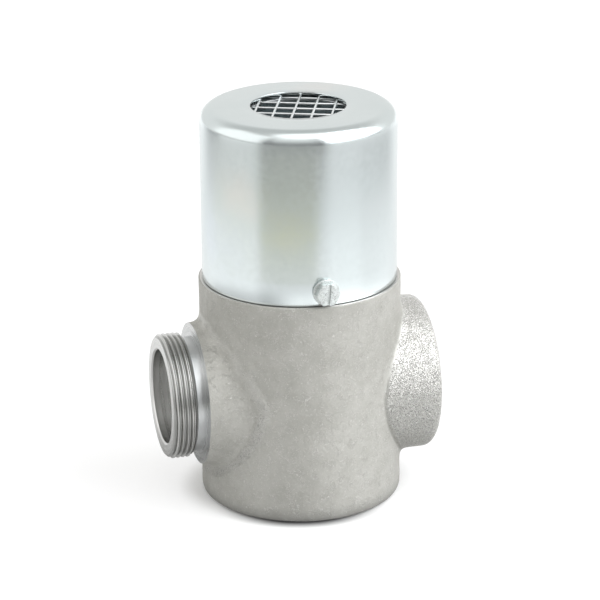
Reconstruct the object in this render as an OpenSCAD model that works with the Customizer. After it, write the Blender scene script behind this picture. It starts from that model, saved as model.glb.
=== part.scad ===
// In-line float steam trap with a hooded thermostatic air vent.
// Millimetres, +Z up, ports along X. The origin is the middle of the foot that the trap stands on.

/* [Body casting] */
// Outside diameter of the bowl
body_d = 96.4; // [88:0.2:106]
// Wall thickness of the bowl
body_wall = 8; // [7:0.5:8.5]
// Thickness of the floor of the bowl
floor_t = 9; // [7:0.5:10]
// Radius round the outside of the foot
foot_r = 3; // [2:0.5:7]
// Radius round the inside of the floor
floor_r = 6; // [4:0.5:8]
// Height of the shoulder that the hood stands over
shoulder_z = 108.4; // [106:0.2:118]
// Width of the shoulder that stands out round the hood
shoulder_w = 1.95; // [1.2:0.05:4]
// Width of the bevel round the shoulder
shoulder_bevel = 0.8; // [0.4:0.1:1.2]
// Height of the machined spigot above the shoulder
spigot_h = 15.6; // [15:0.2:18]
// Wall thickness of the spigot
spigot_wall = 9.2; // [8.8:0.1:10]

/* [Ports] */
// Height of the port axis above the foot
port_z = 53; // [50:0.5:56]
// Diameter of the bore through both ports
port_bore_d = 45; // [38:0.5:46]
// Major diameter of the pipe thread, inlet and outlet
thread_d = 59.6; // [57:0.1:62]
// Depth of the pipe thread
thread_depth = 1.48; // [1.2:0.02:1.6]
// Pitch of the pipe thread
thread_pitch = 2.309; // [2:0.001:3]
// Height of the inlet boss's machined face above the bowl's side
boss_stand = 4; // [2:0.1:8]
// Length of the machined inlet from the boss's face to its end
inlet_l = 16.3; // [13:0.1:22]
// Diameter of the inlet boss
boss_d = 68; // [65:0.5:76]
// Depth of the undercut behind the inlet thread, below the thread's root
undercut_depth = 0.9; // [0.5:0.1:1.5]
// Width of the undercut behind the inlet thread
undercut_w = 4.7; // [3:0.1:6]
// Height of the outlet hub's end face above the bowl's side
hub_stand = 12.2; // [10:0.1:20]
// Diameter of the outlet hub
hub_d = 74.6; // [70:0.2:80]
// Radius round the end of the outlet hub
hub_round = 3.5; // [1:0.5:4]
// Depth of the thread in the outlet hub
tap_depth = 16; // [12:0.5:18]
// Depth of the countersink at the mouth of the outlet thread
tap_lead = 2; // [1:0.1:3]

/* [Weir] */
// Depth of the outlet passage behind the weir
passage_depth = 10.2; // [9:0.2:11]
// Thickness of the weir
weir_t = 6; // [5.5:0.5:7]
// Height of the outlet passage above its bore
passage_head = 4.5; // [2:0.5:8]
// Thickness of the outlet passage's roof
roof_t = 4; // [3:0.5:5]

/* [Outlet valve] */
// Diameter of the orifice in the valve seat
orifice_d = 8; // [6:0.5:8.5]
// Diameter of the seat's threaded part, screwed into the weir
seat_thread_d = 14; // [12:0.5:15]
// Width across the flats of the seat's hexagon
seat_flats = 17; // [16:0.5:17.5]
// Height of the seat's hexagon
seat_hex_h = 4.5; // [4:0.5:5]
// Thickness of the gasket under the seat
seat_gasket_t = 1; // [0.8:0.1:1.5]
// Diameter of the ball face of the valve head
valve_ball_d = 11; // [10:0.5:12]
// Gap between the valve head and its seat when shut
valve_gap = 0.2; // [0.1:0.05:0.4]

/* [Float and lever] */
// Clearance between the float and the side of the bowl
float_gap = 2.225; // [1.6:0.025:4]
// Clearance between the float and the floor of the bowl
float_floor_gap = 3; // [2:0.5:6]
// Wall thickness of the float's shells
float_wall = 0.8; // [0.6:0.1:1.2]
// Length of the boss between the float and the lever
float_boss_l = 4; // [3:0.1:6]
// Height of the float's middle below the lever's pin
float_drop = 6; // [5.5:0.5:7]
// Height of the lever's pin above the valve seat
pin_rise = 16; // [15.5:0.5:17]
// Diameter of the lever's pin
pin_d = 4; // [3:0.1:4.5]
// Thickness of the lever's and the bracket's sheet
sheet_t = 1.5; // [1:0.1:1.8]
// Width of the lever over its cheeks
lever_w = 14; // [13:0.5:16]
// Side play between the lever's cheeks and the bracket's ears
lever_play = 0.5; // [0.3:0.1:1]

/* [Air vent] */
// Thickness of the gasket under the bonnet
bonnet_gasket_t = 1.5; // [1:0.1:2]
// Thickness of the bonnet's flange
bonnet_flange_t = 8; // [7:0.5:10]
// Room for a spanner between the bonnet's chamber and the heads of its screws
bonnet_room = 8; // [5:0.5:9]
// Wall thickness of the bonnet's chamber
bonnet_wall = 7; // [5:0.5:8]
// Height of the bonnet above its gasket
bonnet_h = 42; // [40:0.5:46]
// Thickness of the roof of the bonnet
bonnet_roof_t = 6; // [5:0.5:8]
// Number of bonnet screws
bonnet_screw_count = 6; // [4:1:8]
// Clearance between the bellows and the wall of the bonnet's chamber
bellows_gap = 7; // [4:0.5:9]
// Length of the stem between the bellows and the vent's cone
vent_stem_l = 2.5; // [1:0.5:4]
// Number of folds in the bellows
bellows_folds = 6; // [4:1:8]
// Wall thickness of the bellows
bellows_wall = 0.5; // [0.4:0.1:0.8]
// Travel of the vent valve from cold and open to hot and shut
vent_stroke = 3; // [2:0.1:3.5]
// Diameter of the vent's nozzle
nozzle_d = 6; // [5:0.2:7]

/* [Hood] */
// Thickness of the hood's sheet
hood_t = 1.5; // [1:0.1:2]
// Height of the hood over all
hood_h = 82.6; // [80:0.2:96]
// Gap between the hood's lower edge and the shoulder
hood_gap = 0.5; // [0.3:0.1:0.8]
// Clearance between the hood and the spigot, all round
hood_clear = 0.15; // [0.1:0.05:0.3]
// Outside radius of the drawn corner of the hood
hood_corner_r = 7; // [4:0.5:9]
// Diameter of the vent hole in the top of the hood
vent_d = 44.8; // [36:0.2:50]
// Diameter of the mesh's wire
wire_d = 1; // [0.8:0.1:1.4]
// Pitch of the mesh's wires
wire_pitch = 9; // [6:0.5:12]
// Angle of the mesh about the hood's axis
mesh_turn = -21.5; // [-45:0.5:45]
// Width of the rim of mesh held outside the vent hole
mesh_rim = 6.6; // [5:0.2:8]
// Thickness of the ring that holds the mesh
mesh_ring_t = 1.2; // [0.8:0.1:2]

/* [Hood bolt] */
// Thread diameter of the hood bolt
bolt_d = 6; // [5:0.5:7]
// Width across the flats of the hood bolt's head
bolt_flats = 10; // [9:0.5:11]
// Height of the hood bolt's head
bolt_head_h = 4; // [3:0.5:5]
// Diameter of the washer under the hood bolt's head
washer_d = 12.4; // [11:0.2:14]
// Thickness of the washer under the hood bolt's head
washer_t = 1.6; // [1:0.1:2]
// Gap between that washer and the shoulder
washer_gap = 0.8; // [0.4:0.1:3]
// Depth of the hood bolt's hole in the spigot
bolt_depth = 6.5; // [5:0.5:7]

/* [Hidden] */
$fn = 96;
fine = 0.02;  // gap that keeps neighbouring solids apart
cut = 1;      // how far a cutter runs past a face

cast_colour = "#A9A8A1";
zinc_colour = "#C6D0D2";
brass_colour = "#B9A05E";
steel_colour = "#B4B6B8";
gasket_colour = "#4A4A48";
bonnet_colour = "#6A7074";

// Body
body_r = body_d / 2;
bowl_r = body_r - body_wall;
hood_r = body_r - shoulder_w;
spigot_r = hood_r - hood_t - hood_clear;
neck_r = spigot_r - spigot_wall;
spigot_top = shoulder_z + spigot_h;
neck_drop = 4;
neck_z = shoulder_z - neck_drop;
neck_slope_h = 8;
bore_r = port_bore_d / 2;
thread_r = thread_d / 2;
root_r = thread_r - thread_depth;
thread_half_angle = 27.5;
flank_w = thread_depth * tan(thread_half_angle);
crest_w = thread_pitch / 2 - flank_w;
undercut_r = root_r - undercut_depth;
boss_reach = body_r + boss_stand;
inlet_reach = boss_reach + inlet_l;
hub_reach = body_r + hub_stand;
weir_back = bowl_r - passage_depth;
weir_x = weir_back - weir_t;
weir_top = port_z + bore_r + passage_head + roof_t;

// Screws: radius of the shank, radius over the head's corners and height of the head
m5_r = 2.5;
m5_head_r = 4.62;
m5_head_h = 3.5;
m5_washer_t = 1;
m5_washer_rim = 2;
m4_r = 2;
m4_head_r = 3.5;
m4_head_h = 2.8;
screw_inset = 5;
screw_ring_r = spigot_r - screw_inset;
bonnet_screw_l = 11;
bracket_screw_l = 5;
key_r = 1.7;
key_depth = 1.6;
tapped_extra = 1;
head_gap = 2;  // between a screw's head and what stands beside it
edge_gap = 1;  // between a screw's head and the edge of its plate

// Outlet valve, lever and float
seat_face_x = weir_x - seat_gasket_t - seat_hex_h;
valve_ball_r = valve_ball_d / 2;
pin_x = seat_face_x - sqrt(pow(valve_ball_r, 2) - pow(orifice_d / 2, 2)) - valve_gap;
pin_r = pin_d / 2;
pin_clear = 0.05;
pin_head_t = 1;
pin_head_rim = 1.2;
pin_end_l = 2.4;
groove_w = 1;
groove_depth = 0.4;
groove_gap = 0.2;
clip_rim = 1.6;
clip_slot = 0.8;
lug_rim = 2.5;
lug_r = pin_r + lug_rim;
web_x = pin_x - lug_r;
lever_in = lever_w / 2 - sheet_t;
ear_in = lever_w / 2 + lever_play;
ear_out = ear_in + sheet_t;
groove_y = ear_out + groove_gap;
valve_stem_r = 2;
valve_collar_r = 3.5;
valve_back_l = 1.9;
float_r = (bowl_r - float_gap + web_x - float_boss_l) / 2;
float_x = web_x - float_boss_l - float_r;
float_z = floor_t + float_floor_gap + float_r;
pin_z = float_z + float_drop;
seat_z = pin_z - pin_rise;
weld_w = 1.2;
weld_h = 0.4;
boss_r = 4;
web_half = 5;
nut_t = 1.8;
nut_rim = 2;
stub_l = nut_t + 0.4;
float_screw_head_r = 3.3;
float_screw_head_h = 2.2;
bracket_base_t = 2;
bracket_side = 5;
bracket_half = ear_out + bracket_side;
bracket_low = seat_z + seat_flats / 2 + edge_gap;
bracket_screw_y = bracket_half - m4_head_r - head_gap;
bracket_screw_z = pin_z + lug_r + m4_head_r + head_gap;
bracket_top = bracket_screw_z + m4_head_r + edge_gap;

// Air vent
bonnet_z = spigot_top + bonnet_gasket_t;
bonnet_seat_z = bonnet_z + bonnet_flange_t;
bonnet_top = bonnet_z + bonnet_h;
bonnet_r = screw_ring_r - m5_head_r - bonnet_room;
bonnet_bore_r = bonnet_r - bonnet_wall;
bonnet_cove = 2;
bonnet_bevel = 3;
flange_inset = 0.4;
flange_r = spigot_r - flange_inset;
carrier_t = 3;
carrier_rim = 2;
carrier_r = bonnet_bore_r + carrier_rim;
carrier_hole_r = 3;
carrier_hole_inset = 6.5;
clip_t = 1.2;
clip_depth = 1;
clip_lip = 1;
clip_gap = 4;
clip_z = bonnet_z + clip_lip;
carrier_z = clip_z + clip_t;
bellows_cap_t = 2;
bellows_cap_inset = 2;
bellows_z = carrier_z + carrier_t + bellows_cap_t;
bellows_r = bonnet_bore_r - bellows_gap;
bellows_cap_r = bellows_r - bellows_cap_inset;
bellows_fold_depth = 4;
bellows_stud_r = 3;
bellows_nut_t = 3;
bellows_nut_rim = 2.8;
nozzle_thread_r = 8;
nozzle_hex_rim = 3;
nozzle_hex_h = 5;
nozzle_lip = 1;
nozzle_face_z = bonnet_top - bonnet_roof_t - nozzle_lip;
cone_r = 5;
cone_tip_r = 1;
cone_h = cone_r - cone_tip_r;
cone_stem_r = 2.5;
shut_gap = 0.1;
cone_z = nozzle_face_z - (cone_r - nozzle_d / 2) - shut_gap - vent_stroke;
bellows_top = cone_z - vent_stem_l - bellows_cap_t;
bellows_h = bellows_top - bellows_z;

// Hood
hood_z = shoulder_z + hood_gap;
hood_top = hood_z + hood_h;
vent_r = vent_d / 2;
mesh_r = vent_r + mesh_rim;
long_wire_offset = -1.5;  // where one wire of the layer lies from the hood's axis
cross_wire_offset = 3.7;
long_wire_z = hood_top - hood_t - fine - wire_d / 2;
cross_wire_z = long_wire_z - wire_d - fine;
ring_top = cross_wire_z - wire_d / 2 - fine;
ring_lap = 5;
ring_lip = 1;
ring_in = mesh_r - ring_lap;
ring_out = mesh_r + ring_lip;

// Hood bolt
bolt_r = bolt_d / 2;
washer_r = washer_d / 2;
bolt_z = shoulder_z + washer_gap + washer_r;
bolt_hole_clear = 0.3;
bolt_play = 0.05;
washer_y = hood_r + bolt_play;
head_y = washer_y + washer_t;
head_slot_w = 1.3;
head_slot_depth = 1.4;

function arc(centre, r, a0, a1, steps = 10) =
    [for (i = [0:steps]) let(a = a0 + (a1 - a0) * i / steps) centre + r * [cos(a), sin(a)]];

// One thread tooth after another along h, from radius low out to radius high
function teeth(h0, count, low, high) =
    [for (k = [0:count - 1])
        for (p = [[low, crest_w / 2], [high, crest_w / 2 + flank_w],
                  [high, 3 * crest_w / 2 + flank_w], [low, thread_pitch - crest_w / 2]])
            [p[0], h0 + k * thread_pitch + p[1]]];

// A turned shape whose axis is the port axis, h running along +X
module turned_x(points) {
    translate([0, 0, port_z]) rotate([0, 90, 0]) rotate_extrude() polygon(points);
}

module rod_x(x0, x1, y, z, r, sides = $fn) {
    translate([x0, y, z]) rotate([0, 90, 0]) cylinder(h = x1 - x0, r = r, $fn = sides);
}

module rod_y(y0, y1, x, z, r, sides = $fn) {
    translate([x, y1, z]) rotate([90, 0, 0]) cylinder(h = y1 - y0, r = r, $fn = sides);
}

module block(low, high) translate(low) cube(high - low);

module ring(z, h, inner, outer) {
    translate([0, 0, z]) difference() {
        cylinder(h = h, r = outer);
        translate([0, 0, -cut]) cylinder(h = h + 2 * cut, r = inner);
    }
}

// One copy for each bonnet screw, the pattern set so that the hood bolt lies midway between two
module round_the_bonnet() {
    for (i = [0:bonnet_screw_count - 1])
        rotate(270 + (i + 0.5) * 360 / bonnet_screw_count) translate([screw_ring_r, 0, 0]) children();
}

// Body casting

module bowl_outside() {
    rotate_extrude() polygon(concat(
        [[0, 0]],
        arc([body_r - foot_r, foot_r], foot_r, -90, 0),
        [[body_r, shoulder_z - shoulder_bevel], [body_r - shoulder_bevel, shoulder_z],
         [spigot_r, shoulder_z], [spigot_r, spigot_top], [0, spigot_top]]
    ));
}

module bowl_inside() {
    rotate_extrude() polygon(concat(
        [[0, floor_t]],
        arc([bowl_r - floor_r, floor_t + floor_r], floor_r, -90, 0),
        [[bowl_r, neck_z - neck_slope_h], [neck_r, neck_z],
         [neck_r, spigot_top + cut], [0, spigot_top + cut]]
    ));
}

module inlet_outside() {
    thread_start = boss_reach + undercut_w;
    count = floor((inlet_reach - thread_start) / thread_pitch);
    mirror([1, 0, 0]) turned_x(concat(
        [[0, 0], [boss_d / 2, 0], [boss_d / 2, boss_reach], [undercut_r, boss_reach],
         [undercut_r, thread_start], [root_r, thread_start]],
        teeth(thread_start, count, root_r, thread_r),
        [[root_r, inlet_reach], [0, inlet_reach]]
    ));
}

module outlet_outside() {
    turned_x(concat(
        [[0, 0], [hub_d / 2, 0]],
        arc([hub_d / 2 - hub_round, hub_reach - hub_round], hub_round, 0, 90),
        [[0, hub_reach]]
    ));
}

module outlet_thread_cut() {
    start = hub_reach - tap_depth;
    count = floor((tap_depth - tap_lead) / thread_pitch);
    turned_x(concat(
        [[0, start], [root_r, start]],
        teeth(start, count, root_r, thread_r),
        [[root_r, hub_reach - tap_lead], [root_r + tap_lead, hub_reach],
         [root_r + tap_lead, hub_reach + cut], [0, hub_reach + cut]]
    ));
}

// The weir and roof that part the float's chamber from the outlet passage
module weir() {
    block([weir_x, -body_r, 0], [weir_back, body_r, weir_top]);
    block([weir_x, -body_r, weir_top - roof_t], [body_r, body_r, weir_top]);
}

module body_casting() color(cast_colour) difference() {
    union() {
        bowl_outside();
        inlet_outside();
        outlet_outside();
    }
    difference() {
        bowl_inside();
        weir();
    }
    rod_x(-inlet_reach - cut, 0, 0, port_z, bore_r);
    rod_x(weir_back, hub_reach, 0, port_z, bore_r);
    outlet_thread_cut();
    rod_x(weir_x - cut, weir_back + cut, 0, seat_z, seat_thread_d / 2);
    bracket_hole_x = weir_x - bracket_base_t + bracket_screw_l + tapped_extra;
    for (y = [-bracket_screw_y, bracket_screw_y])
        rod_x(weir_x - cut, bracket_hole_x, y, bracket_screw_z, m4_r);
    round_the_bonnet() translate([0, 0, bonnet_seat_z - bonnet_screw_l - bonnet_flange_t - tapped_extra])
        cylinder(h = bonnet_screw_l + bonnet_flange_t, r = m5_r);
    rod_y(-spigot_r - cut, bolt_depth - spigot_r, 0, bolt_z, bolt_r);
}

// Air vent

module bonnet_gasket() color(gasket_colour) difference() {
    ring(spigot_top, bonnet_gasket_t, neck_r, flange_r);
    round_the_bonnet() translate([0, 0, spigot_top - cut])
        cylinder(h = bonnet_gasket_t + 2 * cut, r = m5_r + bolt_hole_clear);
}

module vent_bonnet() color(bonnet_colour) difference() {
    rotate_extrude() polygon([
        [0, bonnet_z], [flange_r, bonnet_z], [flange_r, bonnet_seat_z],
        [bonnet_r + bonnet_cove, bonnet_seat_z], [bonnet_r, bonnet_seat_z + bonnet_cove],
        [bonnet_r, bonnet_top - bonnet_bevel], [bonnet_r - bonnet_bevel, bonnet_top], [0, bonnet_top]
    ]);
    translate([0, 0, bonnet_z - cut]) cylinder(h = bonnet_h - bonnet_roof_t + cut, r = bonnet_bore_r);
    translate([0, 0, bonnet_z - cut]) cylinder(h = carrier_z + carrier_t - bonnet_z + cut, r = carrier_r);
    translate([0, 0, clip_z]) cylinder(h = clip_t, r = carrier_r + clip_depth);
    translate([0, 0, bonnet_z]) cylinder(h = bonnet_h + cut, r = nozzle_thread_r);
    round_the_bonnet() translate([0, 0, bonnet_z - cut])
        cylinder(h = bonnet_flange_t + 2 * cut, r = m5_r + bolt_hole_clear);
}

module bonnet_screws() color(zinc_colour) round_the_bonnet() {
    translate([0, 0, bonnet_seat_z + m5_washer_t]) rotate(30)
        cylinder(h = m5_head_h, r = m5_head_r, $fn = 6);
    translate([0, 0, bonnet_seat_z - bonnet_flange_t - bonnet_screw_l])
        cylinder(h = bonnet_flange_t + bonnet_screw_l + m5_washer_t + cut, r = m5_r);
}

module bonnet_screw_washers() color(zinc_colour) round_the_bonnet()
    ring(bonnet_seat_z, m5_washer_t, m5_r, m5_r + m5_washer_rim);

module vent_nozzle() color(steel_colour) difference() {
    union() {
        translate([0, 0, nozzle_face_z]) cylinder(h = bonnet_top - nozzle_face_z + cut, r = nozzle_thread_r);
        translate([0, 0, bonnet_top])
            cylinder(h = nozzle_hex_h, r = nozzle_thread_r + nozzle_hex_rim, $fn = 6);
    }
    translate([0, 0, nozzle_face_z - cut])
        cylinder(h = bonnet_top + nozzle_hex_h - nozzle_face_z + 2 * cut, r = nozzle_d / 2);
}

module bellows_carrier() color(steel_colour) difference() {
    translate([0, 0, carrier_z]) cylinder(h = carrier_t, r = carrier_r - fine);
    translate([0, 0, carrier_z - cut]) cylinder(h = carrier_t + 2 * cut, r = bellows_stud_r);
    for (a = [45:90:315]) rotate(a) translate([carrier_r - carrier_hole_inset, 0, carrier_z - cut])
        cylinder(h = carrier_t + 2 * cut, r = carrier_hole_r);
}

module carrier_circlip() color(steel_colour) difference() {
    ring(clip_z, clip_t - fine, carrier_r - carrier_rim, carrier_r + clip_depth - fine);
    block([0, -clip_gap, clip_z - cut], [carrier_r + clip_depth + cut, clip_gap, clip_z + clip_t + cut]);
}

// Folded wall between the base and the valve's cap
module bellows() color(brass_colour) {
    outer = bellows_r;
    inner = outer - bellows_fold_depth;
    fold_h = bellows_h / bellows_folds;
    rotate_extrude() polygon(concat(
        [for (i = [0:2 * bellows_folds])
            [i % 2 == 0 ? inner : outer, bellows_z + i * fold_h / 2]],
        [for (i = [2 * bellows_folds:-1:0])
            [(i % 2 == 0 ? inner : outer) - 2 * bellows_wall, bellows_z + i * fold_h / 2]]
    ));
}

// Cap under the bellows, with the stud that holds it to its carrier
module bellows_base() color(brass_colour) {
    translate([0, 0, bellows_z - bellows_cap_t]) cylinder(h = bellows_cap_t, r = bellows_cap_r);
    translate([0, 0, carrier_z - bellows_nut_t - cut])
        cylinder(h = bellows_nut_t + carrier_t + 2 * cut, r = bellows_stud_r);
}

module bellows_nut() color(steel_colour) difference() {
    translate([0, 0, carrier_z - bellows_nut_t])
        cylinder(h = bellows_nut_t, r = bellows_stud_r + bellows_nut_rim, $fn = 6);
    translate([0, 0, carrier_z - bellows_nut_t - cut])
        cylinder(h = bellows_nut_t + 2 * cut, r = bellows_stud_r);
}

module vent_valve() color(steel_colour) {
    translate([0, 0, bellows_top]) cylinder(h = bellows_cap_t, r = bellows_cap_r);
    translate([0, 0, bellows_top + cut]) cylinder(h = bellows_cap_t + vent_stem_l, r = cone_stem_r);
    translate([0, 0, cone_z]) cylinder(h = cone_h, r1 = cone_r, r2 = cone_tip_r);
}

// Outlet valve

module outlet_seat() color(steel_colour) difference() {
    union() {
        translate([seat_face_x, 0, seat_z]) rotate([0, 90, 0]) rotate(30)
            cylinder(h = seat_hex_h, r = seat_flats / sqrt(3), $fn = 6);
        rod_x(seat_face_x + seat_hex_h - cut, weir_back, 0, seat_z, seat_thread_d / 2);
    }
    rod_x(seat_face_x - cut, weir_back + cut, 0, seat_z, orifice_d / 2);
}

module outlet_seat_gasket() color(gasket_colour) difference() {
    rod_x(seat_face_x + seat_hex_h, weir_x, 0, seat_z, seat_flats / 2);
    rod_x(seat_face_x, weir_x + cut, 0, seat_z, seat_thread_d / 2);
}

module float_bracket() color(steel_colour) difference() {
    union() {
        block([weir_x - bracket_base_t, -bracket_half, bracket_low], [weir_x, bracket_half, bracket_top]);
        for (y = [-ear_out, ear_in]) {
            block([pin_x, y, pin_z - lug_r], [weir_x - bracket_base_t / 2, y + sheet_t, pin_z + lug_r]);
            rod_y(y, y + sheet_t, pin_x, pin_z, lug_r);
        }
    }
    rod_y(-bracket_half, bracket_half, pin_x, pin_z, pin_r);
    for (y = [-bracket_screw_y, bracket_screw_y])
        rod_x(weir_x - bracket_base_t - cut, weir_x + cut, y, bracket_screw_z, m4_r);
}

module bracket_screws() color(steel_colour) {
    head_x = weir_x - bracket_base_t;
    for (y = [-bracket_screw_y, bracket_screw_y]) difference() {
        union() {
            rod_x(head_x - m4_head_h, head_x, y, bracket_screw_z, m4_head_r);
            rod_x(head_x - cut, head_x + bracket_screw_l, y, bracket_screw_z, m4_r);
        }
        rod_x(head_x - m4_head_h - cut, head_x - m4_head_h + key_depth, y, bracket_screw_z, key_r, 6);
    }
}

module pivot_pin() color(steel_colour) difference() {
    union() {
        rod_y(-ear_out - pin_head_t, ear_out + pin_end_l, pin_x, pin_z, pin_r);
        rod_y(-ear_out - pin_head_t, -ear_out, pin_x, pin_z, pin_r + pin_head_rim);
    }
    difference() {
        rod_y(groove_y, groove_y + groove_w, pin_x, pin_z, pin_r + cut);
        rod_y(ear_out, ear_out + pin_end_l, pin_x, pin_z, pin_r - groove_depth);
    }
}

module pivot_pin_clip() color(steel_colour) difference() {
    rod_y(groove_y + fine, groove_y + groove_w - fine, pin_x, pin_z, pin_r + clip_rim);
    rod_y(ear_out, ear_out + pin_end_l, pin_x, pin_z, pin_r - groove_depth);
    block([pin_x, ear_out, pin_z - clip_slot],
          [pin_x + pin_r + clip_rim + cut, ear_out + pin_end_l, pin_z + clip_slot]);
}

// Web across the front, and a cheek on each side that hangs on the pin
module lever() color(steel_colour) difference() {
    union() {
        block([web_x, -lever_w / 2, float_z - boss_r], [web_x + sheet_t, lever_w / 2, pin_z + lug_r]);
        block([web_x, -web_half, seat_z - web_half], [web_x + sheet_t, web_half, float_z]);
        for (y = [-lever_w / 2, lever_in]) {
            block([web_x, y, float_z - boss_r], [pin_x, y + sheet_t, pin_z + lug_r]);
            rod_y(y, y + sheet_t, pin_x, pin_z, lug_r);
        }
    }
    block([web_x - cut, -lever_in, pin_z - pin_r], [web_x + sheet_t + cut, lever_in, pin_z + lug_r + cut]);
    rod_y(-lever_w, lever_w, pin_x, pin_z, pin_r + pin_clear);
    rod_x(web_x - cut, web_x + sheet_t + cut, 0, seat_z, valve_stem_r);
    rod_x(web_x - cut, web_x + sheet_t + cut, 0, float_z, m4_r);
}

module valve_head() color(steel_colour) {
    intersection() {
        translate([pin_x, 0, seat_z]) sphere(r = valve_ball_r);
        block([pin_x - valve_back_l, -valve_ball_r, seat_z - valve_ball_r],
              [pin_x + valve_ball_r, valve_ball_r, seat_z + valve_ball_r]);
    }
    rod_x(web_x + sheet_t, pin_x, 0, seat_z, valve_collar_r);
    rod_x(web_x - stub_l, pin_x, 0, seat_z, valve_stem_r);
}

module valve_head_nut() color(steel_colour) difference() {
    rod_x(web_x - nut_t, web_x, 0, seat_z, valve_stem_r + nut_rim, 6);
    rod_x(web_x - nut_t - cut, web_x + cut, 0, seat_z, valve_stem_r);
}

module float_screw() color(steel_colour) {
    rod_x(web_x + sheet_t, web_x + sheet_t + float_screw_head_h, 0, float_z, float_screw_head_r, 6);
    rod_x(web_x - stub_l, web_x + sheet_t + cut, 0, float_z, m4_r);
}

module float_ball(r) translate([float_x, 0, float_z]) sphere(r = r);

module float_boss() color(steel_colour) difference() {
    rod_x(float_x + float_r / 2, web_x, 0, float_z, boss_r);
    float_ball(float_r);
    rod_x(web_x - stub_l, web_x + cut, 0, float_z, m4_r);
}

module float_half(low, high) color(steel_colour) difference() {
    intersection() {
        float_ball(float_r);
        block([low, -float_r - cut, float_z - float_r - cut],
              [high, float_r + cut, float_z + float_r + cut]);
    }
    float_ball(float_r - float_wall);
}

module float_front_shell() float_half(float_x, float_x + float_r + cut);

module float_back_shell() float_half(float_x - float_r - cut, float_x);

module float_weld_band() color(steel_colour) translate([float_x, 0, float_z]) rotate([0, 90, 0])
    rotate_extrude() polygon([
        [float_r + fine, -weld_w], [float_r + weld_h, -weld_w / 2],
        [float_r + weld_h, weld_w / 2], [float_r + fine, weld_w]
    ]);

// Hood

module hood_shell() color(zinc_colour) difference() {
    rotate_extrude() polygon(concat(
        [[hood_r - hood_t, hood_z], [hood_r, hood_z]],
        arc([hood_r - hood_corner_r, hood_top - hood_corner_r], hood_corner_r, 0, 90),
        [[vent_r, hood_top], [vent_r, hood_top - hood_t]],
        arc([hood_r - hood_corner_r, hood_top - hood_corner_r], hood_corner_r - hood_t, 90, 0)
    ));
    rod_y(-hood_r - cut, -spigot_r + cut, 0, bolt_z, bolt_r + bolt_hole_clear);
    block([-bolt_r - bolt_hole_clear, -hood_r - cut, hood_z - cut],
          [bolt_r + bolt_hole_clear, -spigot_r + cut, bolt_z]);
}

// Straight wires side by side, each as long as the round mesh is wide where it lies
module wires(z, turn, offset) {
    first = ceil((-mesh_r + wire_pitch / 3 - offset) / wire_pitch);
    last = floor((mesh_r - wire_pitch / 3 - offset) / wire_pitch);
    color(zinc_colour) rotate(turn) for (k = [first:last]) {
        y = offset + k * wire_pitch;
        half = sqrt(mesh_r * mesh_r - y * y);
        rod_x(-half, half, y, z, wire_d / 2, 24);
    }
}

module mesh_long_wires() wires(long_wire_z, mesh_turn - 90, long_wire_offset);

module mesh_cross_wires() wires(cross_wire_z, mesh_turn, cross_wire_offset);

module mesh_ring() color(zinc_colour) ring(ring_top - mesh_ring_t, mesh_ring_t, ring_in, ring_out);

// Hood bolt

module hood_bolt() color(zinc_colour) difference() {
    union() {
        translate([0, -head_y, bolt_z]) rotate([90, 0, 0]) rotate(90)
            cylinder(h = bolt_head_h, r = bolt_flats / sqrt(3), $fn = 6);
        rod_y(-head_y - cut, bolt_depth - cut - spigot_r, 0, bolt_z, bolt_r);
    }
    block([-head_slot_w / 2, -head_y - bolt_head_h - cut, bolt_z - bolt_flats],
          [head_slot_w / 2, head_slot_depth - head_y - bolt_head_h, bolt_z + bolt_flats]);
}

module hood_bolt_washer() color(zinc_colour) difference() {
    rod_y(-washer_y - washer_t, -washer_y, 0, bolt_z, washer_r);
    rod_y(-washer_y - washer_t - cut, cut - washer_y, 0, bolt_z, bolt_r);
}

body_casting();
bonnet_gasket();
vent_bonnet();
bonnet_screws();
bonnet_screw_washers();
vent_nozzle();
bellows_carrier();
carrier_circlip();
bellows();
bellows_base();
bellows_nut();
vent_valve();
outlet_seat();
outlet_seat_gasket();
float_bracket();
bracket_screws();
pivot_pin();
pivot_pin_clip();
lever();
valve_head();
valve_head_nut();
float_screw();
float_boss();
float_front_shell();
float_back_shell();
float_weld_band();
hood_shell();
mesh_long_wires();
mesh_cross_wires();
mesh_ring();
hood_bolt();
hood_bolt_washer();
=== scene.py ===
"""Looks of the steam trap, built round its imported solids. Metres, +Z up, the ports along X."""

import math

import bmesh
import bpy
from mathutils import Matrix, Vector, noise
from mathutils.bvhtree import BVHTree


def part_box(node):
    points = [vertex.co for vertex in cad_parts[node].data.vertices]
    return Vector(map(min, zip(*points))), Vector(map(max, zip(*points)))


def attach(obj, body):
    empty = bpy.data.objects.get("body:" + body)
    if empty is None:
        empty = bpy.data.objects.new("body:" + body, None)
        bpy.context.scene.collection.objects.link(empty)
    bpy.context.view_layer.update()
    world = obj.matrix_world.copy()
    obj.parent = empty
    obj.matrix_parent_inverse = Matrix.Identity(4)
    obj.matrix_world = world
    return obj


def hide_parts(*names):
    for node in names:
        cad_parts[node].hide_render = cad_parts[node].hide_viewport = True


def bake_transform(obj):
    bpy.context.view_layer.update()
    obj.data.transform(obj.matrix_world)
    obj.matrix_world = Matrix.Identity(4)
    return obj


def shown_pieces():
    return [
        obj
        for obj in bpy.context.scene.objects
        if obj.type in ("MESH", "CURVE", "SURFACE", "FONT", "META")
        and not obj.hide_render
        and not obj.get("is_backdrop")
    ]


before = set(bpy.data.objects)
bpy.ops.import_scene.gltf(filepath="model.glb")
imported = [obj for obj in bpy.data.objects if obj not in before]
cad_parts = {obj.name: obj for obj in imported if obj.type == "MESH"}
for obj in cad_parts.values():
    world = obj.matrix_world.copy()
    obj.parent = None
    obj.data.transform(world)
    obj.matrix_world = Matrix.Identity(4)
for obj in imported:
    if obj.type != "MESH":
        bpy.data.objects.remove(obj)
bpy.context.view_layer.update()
scene = bpy.context.scene
MM = 0.001

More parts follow.
